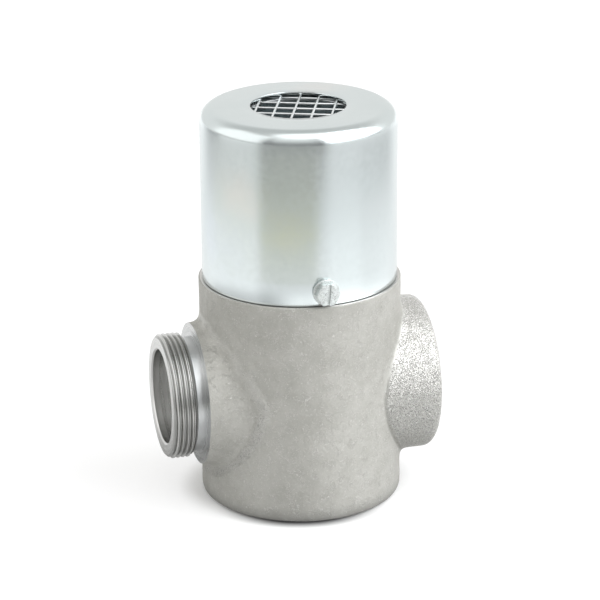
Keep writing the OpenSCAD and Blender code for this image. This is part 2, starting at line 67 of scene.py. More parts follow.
# ---------------------------------------- image points, in the 600 x 600 frame

FRAME_W, FRAME_H = 600, 600
POINTS = {
    "object_left": (149.0, None),
    "object_right": (440.7, None),
    "object_top": (None, 81.7),
    "object_bottom": (None, 522.8),
    "vent_hole": (298.8, 105.1),
    "inlet_bore": (162.1, 395.7),
    "boss_face_top": (190.3, 321.8),
    "boss_face_bottom": (203.0, 464.3),
    "hood_edge_left": (205.0, 284.0),
    "hood_edge_front": (299.0, 306.5),
    "hood_edge_right": (395.0, 280.5),
    "hood_bolt_head": (326.0, 295.5),
    "yellow_bloom": (289.0, 236.0),
    "blue_bloom": (220.0, 238.0),
    "rose_bloom": (240.0, 196.0),
    "top_bloom": (318.0, 87.5),
}

# ---------------------------------------- camera

CAMERA_TURN = math.radians(14.86)        # the camera stands this far to the left of the hood bolt
CAMERA_ELEVATION = math.radians(20.24)
CAMERA_ROLL = math.radians(0.42)
CAMERA_DISTANCE = 1.2494
CAMERA_LENS = 157.28
AIM_HEIGHT = 0.0949
AIM_RIGHT = 0.00014

RIGHT = Vector((math.cos(CAMERA_TURN), -math.sin(CAMERA_TURN), 0))
AWAY = Vector((math.sin(CAMERA_TURN), math.cos(CAMERA_TURN), 0))
UP = Vector((0, 0, 1))


def make_camera():
    ahead = AWAY * math.cos(CAMERA_ELEVATION) - UP * math.sin(CAMERA_ELEVATION)
    above = AWAY * math.sin(CAMERA_ELEVATION) + UP * math.cos(CAMERA_ELEVATION)
    across = RIGHT * math.cos(CAMERA_ROLL) - above * math.sin(CAMERA_ROLL)
    upward = RIGHT * math.sin(CAMERA_ROLL) + above * math.cos(CAMERA_ROLL)
    made = bpy.data.objects.new("camera", bpy.data.cameras.new("camera"))
    scene.collection.objects.link(made)
    place = Matrix((across, upward, -ahead)).transposed().to_4x4()
    place.translation = RIGHT * AIM_RIGHT + UP * AIM_HEIGHT - ahead * CAMERA_DISTANCE
    made.matrix_world = place
    made.data.lens = CAMERA_LENS
    made.data.sensor_width = 36
    made.data.sensor_fit = "AUTO"
    made.data.clip_start, made.data.clip_end = 0.05, 20
    scene.camera = made
    return made


camera = make_camera()


def ray_through(x, y):
    """Where the camera stands, and the direction of the ray through an image point."""
    long_side = max(FRAME_W, FRAME_H)
    lens = camera.data
    along = Vector((x - FRAME_W / 2 + lens.shift_x * long_side,
                    FRAME_H / 2 - y + lens.shift_y * long_side,
                    -long_side * lens.lens / lens.sensor_width))
    return camera.matrix_world.translation, (camera.matrix_world.to_3x3() @ along).normalized()


def image_point(place):
    """The image point at which a place shows."""
    long_side = max(FRAME_W, FRAME_H)
    seen = camera.matrix_world.inverted() @ place
    share = long_side * camera.data.lens / camera.data.sensor_width / -seen.z
    return (FRAME_W / 2 - camera.data.shift_x * long_side + seen.x * share,
            FRAME_H / 2 + camera.data.shift_y * long_side - seen.y * share)


def place_on(carrier, point):
    """The place on a finished piece that shows at an image point, or the place nearest the ray."""
    tree = BVHTree.FromObject(carrier, bpy.context.evaluated_depsgraph_get())
    start, along = ray_through(*point)
    hit = tree.ray_cast(start, along)[0]
    if hit is not None:
        return hit
    corners = [carrier.matrix_world @ v.co for v in carrier.data.vertices]
    return min(corners, key=lambda p: (p - start - along * (p - start).dot(along)).length)


# ---------------------------------------- node tools
# A value is a number, a colour, a vector or another node's output socket.

def tree_of(*values):
    """The node tree in which the first socket among some values lies."""
    return next(value.id_data for value in values if isinstance(value, bpy.types.NodeSocket))


def node_in(tree, kind, **settings):
    made = tree.nodes.new(kind)
    for name, value in settings.items():
        setattr(made, name, value)
    return made


def wire_up(socket, value):
    """Links a socket to another node's output, or writes a plain value on it."""
    if isinstance(value, bpy.types.NodeSocket):
        socket.id_data.links.new(value, socket)
    elif value is not None:
        socket.default_value = value


def fill(made, **values):
    """Wires up a node's inputs by name, and gives its outputs."""
    for name, value in values.items():
        wire_up(made.inputs[name.replace("_", " ")], value)
    return made.outputs


def maths(what, *values, clamp=False):
    made = node_in(tree_of(*values), "ShaderNodeMath", operation=what, use_clamp=clamp)
    for socket, value in zip(made.inputs, values):
        wire_up(socket, value)
    return made.outputs[0]


def times(a, b, *more):
    made = maths("MULTIPLY", a, b)
    return times(made, *more) if more else made


def plus(a, b, *more):
    made = maths("ADD", a, b)
    return plus(made, *more) if more else made


def minus(a, b):
    return maths("SUBTRACT", a, b)


def vector_maths(what, a, b=None, scale=None):
    made = node_in(tree_of(a), "ShaderNodeVectorMath", operation=what)
    wire_up(made.inputs[0], a)
    wire_up(made.inputs[1], b)
    if scale is not None:
        wire_up(made.inputs["Scale"], scale)
    return made.outputs["Value"] if what in ("LENGTH", "DOT_PRODUCT", "DISTANCE") else made.outputs[0]


def spread(value, low, high, to_low=0.0, to_high=1.0, smooth=True):
    """Takes the range from low to high to another range, and stays at its ends outside."""
    made = node_in(tree_of(value), "ShaderNodeMapRange", interpolation_type="SMOOTHSTEP" if smooth else "LINEAR")
    for socket, given in zip(made.inputs, (value, low, high, to_low, to_high)):
        wire_up(socket, given)
    return made.outputs[0]


def between(value, low, high, soft):
    """1 between two values, with soft ends."""
    return times(spread(value, low - soft, low + soft), spread(value, high - soft, high + soft, 1, 0))


def shared(share, a, b):
    """A level that goes from a to b with the share."""
    made = node_in(tree_of(share), "ShaderNodeMix", data_type="FLOAT")
    for socket, value in zip((made.inputs[0], made.inputs[2], made.inputs[3]), (share, a, b)):
        wire_up(socket, value)
    return made.outputs[0]


def blended(share, a, b):
    """A colour that goes from a to b with the share."""
    made = node_in(tree_of(share), "ShaderNodeMix", data_type="RGBA")
    wire_up(made.inputs[0], share)
    for socket, colour in zip((made.inputs[6], made.inputs[7]), (a, b)):
        wire_up(socket, colour if isinstance(colour, bpy.types.NodeSocket) else (*colour, 1))
    return made.outputs[2]


def clouds(vector, scale, detail=3.0, rough=0.55, lean=0.0):
    made = node_in(tree_of(vector), "ShaderNodeTexNoise")
    return fill(made, Vector=vector, Scale=scale, Detail=detail, Roughness=rough, Distortion=lean)["Fac"]


def split(vector):
    made = node_in(tree_of(vector), "ShaderNodeSeparateXYZ")
    wire_up(made.inputs[0], vector)
    return made.outputs


def joined(*parts):
    made = node_in(tree_of(*parts), "ShaderNodeCombineXYZ")
    for socket, part in zip(made.inputs, parts):
        wire_up(socket, part)
    return made.outputs[0]


def mapped(vector, turn=(0, 0, 0), scale=(1, 1, 1)):
    made = node_in(tree_of(vector), "ShaderNodeMapping")
    return fill(made, Vector=vector, Rotation=turn, Scale=scale)[0]


def effect(name, **inputs):
    """An empty node group that takes a Place in millimetres and more inputs, None for a vector."""
    tree = bpy.data.node_groups.new(name, "ShaderNodeTree")
    for label, value in {"Place": None, **inputs}.items():
        kind = "NodeSocketVector" if value is None else "NodeSocketFloat"
        socket = tree.interface.new_socket(label, in_out="INPUT", socket_type=kind)
        if value is not None:
            socket.default_value = value
    return tree, node_in(tree, "NodeGroupInput").outputs


def end_effect(tree, **outputs):
    for label in outputs:
        tree.interface.new_socket(label, in_out="OUTPUT", socket_type="NodeSocketFloat")
    fill(node_in(tree, "NodeGroupOutput"), **outputs)
    return tree


def use_effect(group, place, **values):
    made = node_in(tree_of(place), "ShaderNodeGroup")
    made.node_tree = group
    return fill(made, Place=place, **values)


# ---------------------------------------- effects that several finishes share

def make_blasted_grain():
    """Fine shot-blasted grain over a slow unevenness, with sparks, pits and thin curling streaks."""
    tree, given = effect("blasted grain", Grain=2.2, Pits=0.4)
    place, grain = given["Place"], given["Grain"]
    fine = clouds(place, grain, 3.0, 0.65)
    coarse = clouds(place, times(grain, 0.36), 2.0, 0.5)
    cells = node_in(tree, "ShaderNodeTexVoronoi", feature="F1")
    dent = spread(fill(cells, Vector=place, Scale=times(grain, 0.8))["Distance"], 0.0, 0.55)
    slow = clouds(place, 0.045, 4.0, 0.6)
    patch = clouds(place, 0.16, 3.0, 0.6)
    curl = clouds(place, times(grain, 0.42), 2.0, 0.5, 1.6)
    line = spread(maths("ABSOLUTE", minus(curl, 0.5)), 0.0, 0.03, 1, 0)
    broken = spread(clouds(place, times(grain, 0.22), 2.0, 0.5), 0.46, 0.60)
    return end_effect(tree,
                      Height=plus(times(fine, 0.6), times(coarse, 0.7), times(dent, given["Pits"])),
                      Shade=spread(plus(times(slow, 0.6), times(patch, 0.4)), 0.34, 0.66),
                      Spark=spread(fine, 0.56, 0.74),
                      Streak=times(line, broken),
                      Pit=spread(fine, 0.36, 0.48, 1, 0))


def make_turned_marks():
    """Rings left by a turning tool round the Z axis of Place."""
    tree, given = effect("turned marks", Closeness=5.0)
    x, y, z = split(given["Place"])
    rings = joined(times(plus(vector_maths("LENGTH", joined(x, y)), z), given["Closeness"]))
    return end_effect(tree, Height=clouds(rings, 1.0, 2.0, 0.5), Band=clouds(rings, 0.13, 1.0, 0.5))


def make_wear():
    """Rubbed spots and faint handling marks."""
    tree, given = effect("wear", Amount=0.5)
    spots = clouds(given["Place"], 0.7, 5.0, 0.7)
    lines = clouds(mapped(given["Place"], (0.5, 0.3, 0.7), (3.5, 0.10, 3.5)), 1.0, 2.0, 0.5)
    return end_effect(tree, Mask=times(spread(spots, 0.52, 0.70), given["Amount"]),
                      Scratch=times(spread(lines, 0.62, 0.72), given["Amount"]))


def make_bloom():
    """A soft round patch about a middle. Middle and Size are in millimetres."""
    tree, given = effect("bloom", Middle=None, Size=12.0, Amount=0.5)
    ragged = clouds(given["Place"], 0.09, 2.0, 0.5)
    away = plus(vector_maths("DISTANCE", given["Place"], given["Middle"]), times(minus(ragged, 0.5), given["Size"]))
    near = spread(maths("DIVIDE", away, given["Size"]), 1.0, 0.0)
    return end_effect(tree, Mask=times(near, given["Amount"]))


BLASTED_GRAIN = make_blasted_grain()
TURNED_MARKS = make_turned_marks()
WEAR = make_wear()
BLOOM = make_bloom()


# ---------------------------------------- finishes

PORT_Z = 53.0           # height of the port axis, in millimetres
HUB_EDGE = 48.4, 49.8   # distances from the bowl's axis between which the bowl's skin turns into the hub's
FILLET_R = 38.0         # radius of the boss's fillet about the port axis
GROOVE_X = -57.1, -52.1  # the undercut between the inlet's thread and the boss's face


def start_finish(name, metallic, roughness):
    """A material, its Principled shader and object coordinates in millimetres."""
    made = bpy.data.materials.new(name)
    made.use_nodes = True
    shader = made.node_tree.nodes["Principled BSDF"]
    fill(shader, Metallic=metallic, Roughness=roughness)
    where = node_in(made.node_tree, "ShaderNodeTexCoord").outputs["Object"]
    return made, shader, vector_maths("SCALE", where, scale=1 / MM)


def end_finish(made, shader, colour, rough, *layers):
    """Wires up a material, with bump layers, each (height, distance in millimetres, strength)."""
    normal = None
    for height, distance, strength in layers:
        bump = node_in(made.node_tree, "ShaderNodeBump")
        normal = fill(bump, Height=height, Distance=distance * MM, Strength=strength, Normal=normal)[0]
    fill(shader, Base_Color=colour, Roughness=rough, Normal=normal)
    return made


def darker(colour, share):
    return tuple(part * share for part in colour)


def cast_finish():
    """Shot-blasted casting: fine on the bowl, coarse and sparkling on the outlet hub and the boss's fillet."""
    made, shader, place = start_finish("cast_skin", 0.75, 0.6)
    along, across, above_foot = split(place)
    above_port = minus(above_foot, PORT_Z)
    ragged = minus(clouds(place, 0.12, 3.0, 0.6), 0.5)
    from_axis = maths("SQRT", plus(times(across, across), times(along, along)))
    from_port = maths("SQRT", plus(times(across, across), times(above_port, above_port)))
    from_port = plus(from_port, times(ragged, 5.0))
    on_hub = times(spread(from_axis, *HUB_EDGE), spread(along, 4, 6))
    on_fillet = times(spread(maths("ABSOLUTE", minus(from_port, FILLET_R)), 0.5, 2.8, 1, 0), spread(along, -14, -24))
    coarse = maths("MAXIMUM", on_hub, times(on_fillet, 0.6))
    fine_grain = use_effect(BLASTED_GRAIN, place, Grain=1.15, Pits=0.1)
    rough_grain = use_effect(BLASTED_GRAIN, place, Grain=2.1, Pits=0.9)
    smoother = spread(above_port, -2.0, 20.0, 1.0, 0.3)
    height = plus(times(fine_grain["Height"], spread(coarse, 0, 1, 1, 0, False)),
                  times(rough_grain["Height"], times(coarse, smoother, 3.0)), times(fine_grain["Streak"], 0.45))

    # painted highlight: the hub lighter all over, most towards its top, where the overhead light falls
    painted_hub_highlight = times(on_hub, spread(above_port, -6, 16, 0.30, 0.60))
    # the grain's sparks and streaks together with the hub's painted highlight, in one lighter mask
    sparks_and_painted_highlight = plus(times(fine_grain["Spark"], 0.42), times(rough_grain["Spark"], coarse, 0.5),
                  times(fine_grain["Streak"], 0.60))
    sparks_and_painted_highlight = maths("ADD", sparks_and_painted_highlight, maths("MAXIMUM", painted_hub_highlight, times(coarse, 0.34)), clamp=True)
    # painted shade in the coarse skin's pits, strongest low on the hub and fading towards its top
    painted_pit_shade = times(rough_grain["Pit"], coarse, spread(above_port, -6.0, 16.0, 0.95, 0.12))
    rub = use_effect(WEAR, place, Amount=0.5)
    # painted shade on the hub's underside, below the port axis
    under = times(on_hub, spread(above_port, -34, -14, 0.45, 0))
    # painted shade: the bowl darker towards its foot, where the floor's shadow falls on it
    foot = times(spread(above_foot, 0.0, 9.0, 0.42, 0.0), spread(coarse, 0, 1, 1, 0))
    colour = blended(fine_grain["Shade"], (0.420, 0.416, 0.386), (0.492, 0.488, 0.458))
    for share, tint in ((sparks_and_painted_highlight, (0.74, 0.735, 0.71)), (painted_pit_shade, (0.13, 0.13, 0.12)),
                        (times(rub["Mask"], 0.25), (0.60, 0.59, 0.57)), (under, (0.24, 0.23, 0.20)),
                        (foot, (0.15, 0.15, 0.145))):
        colour = blended(share, colour, tint)
    rough = spread(plus(sparks_and_painted_highlight, times(coarse, 0.7)), 0.0, 1.2, 0.66, 0.24, False)
    return end_finish(made, shader, colour, rough, (height, 0.36, 1.0), (fine_grain["Shade"], 0.25, 0.25))


def machined_finish(name, colour, roughness, round_ports, threaded=False):
    """Turned metal with the tool's rings. Where it is threaded, painted shade darkens the thread's roots, and a
    painted bluish shade greys the undercut.
    """
    made, shader, place = start_finish(name, 1.0, roughness)
    centred = place
    if round_ports:
        centred = mapped(vector_maths("SUBTRACT", place, (0, 0, PORT_Z)), (0, -math.pi / 2, 0))
    marks = use_effect(TURNED_MARKS, centred, Closeness=4.0)
    rub = use_effect(WEAR, place, Amount=0.6)
    shown = blended(marks["Band"], darker(colour, 0.86), colour)
    shown = blended(times(rub["Scratch"], 0.25), shown, darker(colour, 0.7))
    if threaded:
        along = split(place)[0]
        from_axis = vector_maths("LENGTH", vector_maths("MULTIPLY", centred, (1, 1, 0)))
        # painted shade, darker towards the roots of the thread
        painted_root_shade = times(spread(from_axis, 28.4, 29.7, 0.50, 0.04), spread(from_axis, 27.9, 28.2),
                     spread(along, GROOVE_X[0] - 0.1, GROOVE_X[0] + 0.5, 1, 0))
        # painted bluish shade over the undercut between the thread and the boss's face
        groove = times(spread(along, GROOVE_X[0], GROOVE_X[0] + 0.3),
                       spread(along, GROOVE_X[1] - 0.2, GROOVE_X[1], 1, 0), 0.30)
        shown = blended(painted_root_shade, shown, (0.15, 0.155, 0.145))
        shown = blended(groove, shown, (0.36, 0.40, 0.44))
    rough = spread(marks["Band"], 0.3, 0.7, roughness - 0.06, roughness + 0.08)
    return end_finish(made, shader, shown, rough, (marks["Height"], 0.02, 0.5), (rub["Scratch"], -0.01, 0.4))


def hood_finish(blooms):
    """Blue-passivated zinc on drawn sheet: soft reflections, faint olive, yellow and rose bloom."""
    made, shader, place = start_finish("passivated_zinc", 1.0, 0.2)
    slow = clouds(place, 0.018, 2.0, 0.5)
    colour = blended(spread(slow, 0.35, 0.65), (0.69, 0.752, 0.757), (0.725, 0.78, 0.786))
    for middle, size, amount, tint in blooms:
        patch = use_effect(BLOOM, place, Middle=tuple(middle / MM), Size=size, Amount=amount)
        colour = blended(patch["Mask"], colour, tint)
    rub = use_effect(WEAR, place, Amount=0.25)
    colour = blended(times(rub["Scratch"], 0.10), colour, (0.62, 0.64, 0.64))
    film = clouds(place, 0.35, 4.0, 0.6)
    draw = clouds(place, 0.03, 1.0, 0.5)
    return end_finish(made, shader, colour, spread(film, 0.3, 0.7, 0.17, 0.235), (draw, 0.9, 0.06), (film, 0.01, 0.15))


def plated_finish(name, colour, roughness, lumps, pits=0.0):
    """Zinc plating on small hardware, with an uneven, slightly frosted skin."""
    made, shader, place = start_finish(name, 1.0, roughness)
    skin = use_effect(BLASTED_GRAIN, place, Grain=1.9, Pits=0.6)
    rub = use_effect(WEAR, place, Amount=0.7)
    shown = blended(skin["Shade"], darker(colour, 0.88), colour)
    shown = blended(times(rub["Mask"], 0.5), shown, darker(colour, 0.62))
    shown = blended(times(skin["Pit"], pits), shown, darker(colour, 0.3))
    rough = spread(skin["Spark"], 0, 1, roughness + 0.05, roughness - 0.08)
    return end_finish(made, shader, shown, rough, (skin["Height"], lumps, 0.6))


def sheet_finish(name, colour, roughness, tint=None):
    """Rolled or drawn sheet, with a faint grain and handling marks, and a tint in patches."""
    made, shader, place = start_finish(name, 1.0, roughness)
    lines = clouds(mapped(place, scale=(0.25, 4.0, 4.0)), 1.0, 3.0, 0.6)
    slow = clouds(place, 0.08, 2.0, 0.5)
    rub = use_effect(WEAR, place, Amount=0.5)
    shown = blended(slow, darker(colour, 0.88), colour)
    if tint is not None:
        shown = blended(times(spread(slow, 0.45, 0.7), 0.5), shown, tint)
    shown = blended(times(rub["Scratch"], 0.3), shown, darker(colour, 0.7))
    rough = spread(lines, 0.3, 0.7, roughness - 0.05, roughness + 0.07)
    return end_finish(made, shader, shown, rough, (lines, 0.012, 0.5), (rub["Scratch"], -0.01, 0.4))


def gasket_finish():
    """Compressed fibre sheet with flecks of graphite."""
    made, shader, place = start_finish("gasket_fibre", 0.0, 0.75)
    fleck = clouds(place, 2.5, 4.0, 0.7)
    colour = blended(spread(fleck, 0.4, 0.65), (0.045, 0.046, 0.048), (0.13, 0.13, 0.125))
    return end_finish(made, shader, colour, spread(fleck, 0.3, 0.7, 0.8, 0.6), (fleck, 0.05, 0.6))


CAST = cast_finish()
TURNED = machined_finish("turned_casting", (0.69, 0.69, 0.675), 0.28, True, True)
TURNED_UPRIGHT = machined_finish("turned_spigot", (0.68, 0.67, 0.65), 0.3, False)
BRONZE = machined_finish("turned_bronze", (0.66, 0.50, 0.27), 0.3, False)
STEEL = machined_finish("turned_steel", (0.60, 0.60, 0.59), 0.26, False)
STEEL_ACROSS = machined_finish("turned_steel_across", (0.60, 0.60, 0.59), 0.26, True)
SHEET = sheet_finish("stainless_sheet", (0.62, 0.62, 0.61), 0.3)
FLOAT = sheet_finish("float_sheet", (0.66, 0.66, 0.65), 0.22, tint=(0.62, 0.55, 0.42))
SPRING = sheet_finish("spring_steel", (0.30, 0.30, 0.31), 0.34)
FOLDED = sheet_finish("bellows_bronze", (0.62, 0.47, 0.27), 0.3)
PLATED = plated_finish("zinc_hardware", (0.80, 0.82, 0.81), 0.32, 0.10)
BOLT = plated_finish("rough_zinc_bolt", (0.78, 0.82, 0.81), 0.36, 0.45, 0.85)
WIRE = plated_finish("zinc_wire", (0.93, 0.955, 0.96), 0.34, 0.03)
GASKET = gasket_finish()
PHOSPHATED = plated_finish("phosphated_casting", (0.245, 0.285, 0.305), 0.44, 0.08)


# ---------------------------------------- mesh tools, in millimetres

def swung(bm, degrees, axis):
    """Turns a shape about an axis of the frame."""
    bmesh.ops.rotate(bm, verts=bm.verts, matrix=Matrix.Rotation(math.radians(degrees), 3, axis))
    return bm


def moved(bm, x=0.0, y=0.0, z=0.0):
    bmesh.ops.translate(bm, verts=bm.verts, vec=(x * MM, y * MM, z * MM))
    return bm


def onto_port(bm):
    """Lays a shape that stands on the Z axis along X, on the port axis."""
    return moved(swung(bm, 90, "Y"), z=PORT_Z)


def onto_front(bm):
    """Lays a shape that stands on the Z axis along Y, on the bolt's axis, so that its top faces -Y."""
    return moved(swung(bm, 90, "X"), z=BOLT_Z)


def turned(outline, steps=128, ring=False, port=False):
    """A turned solid from the (radius, height) corners of half its section. A ring's section is closed."""
    bm = bmesh.new()
    corners = [bm.verts.new((r * MM, 0, h * MM)) for r, h in outline]
    pairs = list(zip(corners, corners[1:])) + ([(corners[-1], corners[0])] if ring else [])
    edges = [bm.edges.new(pair) for pair in pairs]
    bmesh.ops.spin(bm, geom=corners + edges, cent=(0, 0, 0), axis=(0, 0, 1),
                   angle=math.tau, steps=steps, use_merge=True)
    bmesh.ops.remove_doubles(bm, verts=bm.verts, dist=1e-7)
    bmesh.ops.recalc_face_normals(bm, faces=bm.faces)
    return onto_port(bm) if port else bm


def rod(r, low, high, **how):
    return turned([(0, low), (r, low), (r, high), (0, high)], **how)


def block(low, high):
    bm = bmesh.new()
    bmesh.ops.create_cube(bm, size=1)
    bmesh.ops.scale(bm, verts=bm.verts, vec=[(b - a) * MM for a, b in zip(low, high)])
    return moved(bm, *[(a + b) / 2 for a, b in zip(low, high)])


def port_groove(outline, start, turns, steps=72):
    """A thread's groove round the port axis: a closed (radius, height) section wound up from a start height."""
    bm = bmesh.new()
    corners = [bm.verts.new((r * MM, 0, (start + h) * MM)) for r, h in outline]
    edges = [bm.edges.new(pair) for pair in zip(corners, corners[1:] + corners[:1])]
    bmesh.ops.spin(bm, geom=corners + edges, cent=(0, 0, 0), axis=(0, 0, 1), dvec=(0, 0, PITCH * MM / steps),
                   angle=math.tau * turns, steps=round(steps * turns))
    bmesh.ops.holes_fill(bm, edges=[e for e in bm.edges if e.is_boundary], sides=0)
    bmesh.ops.recalc_face_normals(bm, faces=bm.faces)
    return onto_port(bm)


def round_edges(bm, width, segments, where=None, angle=35):
    """Rounds the edges sharper than an angle, all or those whose middle passes a test, by a width."""
    sharp = [e for e in bm.edges if len(e.link_faces) == 2 and e.calc_face_angle(0) > math.radians(angle)
             and (where is None or where((e.verts[0].co + e.verts[1].co) / 2 / MM))]
    bmesh.ops.bevel(bm, geom=sharp, offset=width * MM, offset_type="OFFSET", segments=segments,
                    profile=0.5, affect="EDGES", clamp_overlap=True, material=-1)


def loose_piece(name, bm, *finishes, index=0):
    mesh = bpy.data.meshes.new(name)
    bm.to_mesh(mesh)
    bm.free()
    made = bpy.data.objects.new(name, mesh)
    scene.collection.objects.link(made)
    for finish in finishes:
        mesh.materials.append(finish)
    mesh.polygons.foreach_set("material_index", [index] * len(mesh.polygons))
    return made


def loosened(piece):
    """Takes a piece out of the scene and gives its mesh back as a loose shape."""
    bm = bmesh.new()
    bm.from_mesh(piece.data)
    bpy.data.objects.remove(piece)
    return bm


def applied(piece):
    """Takes a piece's modifiers into its mesh."""
    graph = bpy.context.evaluated_depsgraph_get()
    mesh = bpy.data.meshes.new_from_object(piece.evaluated_get(graph), depsgraph=graph)
    piece.modifiers.clear()
    piece.data = mesh


def shaped(piece, how, tool):
    """Joins a tool to a piece or cuts it away, and takes the tool out of the scene."""
    change = piece.modifiers.new("shape", "BOOLEAN")
    change.operation, change.solver, change.object = how, "MANIFOLD", tool
    applied(piece)
    bpy.data.objects.remove(tool)


def finished(piece, body, slot, *nodes, sharp=38):
    """Smooths a piece's faces, puts it on its body, and hides the CAD nodes that it takes the place of."""
    piece.data.shade_smooth()
    piece.data.set_sharp_from_angle(angle=math.radians(sharp))
    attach(piece, body)
    if nodes:
        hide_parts(*nodes)
    return piece


def softened(node, body, slot, finish, width, segments=2, angle=35):
    """A CAD node with its edges broken, as a deburred part has them."""
    bm = bmesh.new()
    bm.from_mesh(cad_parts[node].data)
    bmesh.ops.remove_doubles(bm, verts=bm.verts, dist=2e-6)
    bmesh.ops.dissolve_limit(bm, angle_limit=math.radians(0.5), verts=bm.verts, edges=bm.edges)
    round_edges(bm, width, segments, angle=angle)
    finished(loose_piece(node + "_finished", bm, finish), body, slot, node)


# ---------------------------------------- body casting, in millimetres

BODY_R, BOWL_R, FOOT_R = 48.2, 40.2, 3.0
SHOULDER_Z, SHOULDER_BEVEL = 108.4, 0.8
FACED = 0.35            # how far down its bevel the shoulder is turned
SPIGOT_R, SPIGOT_TOP, NECK_R, NECK_Z = 44.6, 124.0, 35.4, 104.4
BOSS_R, BOSS_FACE = 34.0, -52.2
HUB_R, HUB_FACE = 37.3, 60.4
CAST_TOP = 111          # the skin's height before its shoulder is turned
STOCK = 0.9             # what the lathe takes off the hub's end
FLOOR_T = 9             # thickness of the bowl's floor
INLET_END, UNDERCUT_END, UNDERCUT_R = -68.5, -56.9, 27.42
THREAD_R, ROOT_R, PITCH = 29.8, 28.32, 2.309
BORE_R = 22.5
WEIR_X, WEIR_BACK, ROOF_LOW, ROOF_TOP = 24.0, 30.0, 80.0, 84.0
SEAT_Z, SEAT_HOLE_R = 24.0, 7
PAST_BODY, PAST_PORT, PAST_TOP = 60, 46, 126    # cutters reach this far, outside body, ports and spigot
WAVES = (0.045, 0.12), (0.13, 0.07), (0.42, 0.035)  # (closeness, depth) of the cast skin's unevenness
# (reach, rounds, radius of the port's part, side) of the smoothing where boss and hub leave the bowl
JUNCTIONS = (8.0, 14, BOSS_R, -1), (5.5, 14, BOSS_R, -1), (4.0, 7, HUB_R, 1)
CAST_FINISHES = CAST, TURNED, TURNED_UPRIGHT
AS_CAST, ON_PORT, UPRIGHT = range(3)


def cast_skin():
    """The casting as it leaves the mould: bowl, boss and hub run into one another with soft fillets."""
    bowl = rod(BODY_R, 0, CAST_TOP)
    round_edges(bowl, FOOT_R, 8, lambda p: p.z < 1)
    boss = rod(BOSS_R, -54.5, 0, port=True)
    hub = rod(HUB_R, 0, HUB_FACE + STOCK, port=True)
    round_edges(hub, 4.2, 8, lambda p: p.x > HUB_FACE)
    skin = loose_piece("trap_casting", bowl)
    for part in (boss, hub):
        shaped(skin, "UNION", loose_piece("joined", part))
    remesh = skin.modifiers.new("remesh", "REMESH")
    remesh.mode, remesh.voxel_size = "VOXEL", 1.15 * MM
    applied(skin)
    bm = bmesh.new()
    bm.from_mesh(skin.data)
    smooth_junctions(bm)
    unevenness(bm)
    bm.to_mesh(skin.data)
    bm.free()
    return skin


def smooth_junctions(bm):
    """Relaxes the mesh lightly everywhere, and more where the boss or the hub leaves the bowl."""
    def relaxed(verts):
        bmesh.ops.smooth_vert(bm, verts=verts, factor=0.5, use_axis_x=True, use_axis_y=True, use_axis_z=True)

    def near(vert, reach, port_r, side):
        p = vert.co / MM
        port = math.hypot(p.y, p.z - PORT_Z)
        return (side * p.x > 0 and abs(port - port_r) < reach and side * p.x < 56
                and abs(math.hypot(p.x, p.y) - BODY_R) < reach * 0.8 and abs(p.x) < BODY_R + reach * 0.8)

    relaxed(bm.verts)
    for reach, rounds, port_r, side in JUNCTIONS:
        picked = [v for v in bm.verts if near(v, reach, port_r, side)]
        for _ in range(rounds):
            relaxed(picked)


def unevenness(bm):
    """Sinks the skin by the slow waves and small lumps that a sand mould leaves, never outwards."""
    bm.normal_update()
    for vert in bm.verts:
        p = vert.co / MM
        wave = sum(noise.noise(p * closeness) * depth for closeness, depth in WAVES)
        depth = (0.2 + wave) * (0.25 + 0.75 * min(1, max(0, (p.z - 2) / 10)))
        vert.co -= Vector((vert.normal.x, vert.normal.y, max(0, vert.normal.z))) * depth * MM


def casting():
    """The skin, then what the lathe and the drill do to it."""
    body = cast_skin()
    body.data.materials.clear()
    for finish in CAST_FINISHES:
        body.data.materials.append(finish)

    def cut(bm, index, how="DIFFERENCE"):
        shaped(body, how, loose_piece("tool", bm, *CAST_FINISHES, index=index))

    inner = BODY_R - SHOULDER_BEVEL
    cut(turned([(SPIGOT_R, SHOULDER_Z), (inner, SHOULDER_Z), (inner + FACED, SHOULDER_Z - FACED),
                (PAST_BODY, SHOULDER_Z - FACED), (PAST_BODY, 118), (SPIGOT_R, 118)], ring=True), UPRIGHT)
    slope = 2.0
    cut(turned([(inner - 1, SHOULDER_Z + 1), (BODY_R + slope, SHOULDER_Z - SHOULDER_BEVEL - slope),
                (PAST_BODY, SHOULDER_Z - SHOULDER_BEVEL - slope), (PAST_BODY, SHOULDER_Z + 1)], ring=True), AS_CAST)
    cut(rod(PAST_PORT, BOSS_FACE, -80, port=True), ON_PORT)
    cut(rod(PAST_PORT, HUB_FACE, 80, port=True), ON_PORT)
    spigot = rod(SPIGOT_R, 95, SPIGOT_TOP)
    round_edges(spigot, 0.5, 2, lambda p: p.z > SPIGOT_TOP - 1)
    cut(spigot, UPRIGHT, "UNION")
    cut(inlet_pipe(), ON_PORT, "UNION")
    cut(inside_of_bowl(), AS_CAST)
    cut(rod(BORE_R - 0.45, -45, -36, port=True), AS_CAST)
    cut(inlet_bore(), ON_PORT)
    cut(rod(BORE_R - 0.4, WEIR_BACK, 46, port=True), AS_CAST)
    cut(outlet_bore(), ON_PORT)
    cut(port_groove([(ROOT_R - 0.08, -1.02), (ROOT_R - 0.08, 1.02), (THREAD_R, 0.25), (THREAD_R, -0.25)],
                    HUB_FACE - 16.6, 7.9), ON_PORT)
    seat_hole = rod(SEAT_HOLE_R, WEIR_X - 2, WEIR_BACK + 2, steps=64, port=True)
    cut(moved(seat_hole, z=SEAT_Z - PORT_Z), ON_PORT)
    return finished(body, "trap_body", "casting", "body_casting", sharp=42)


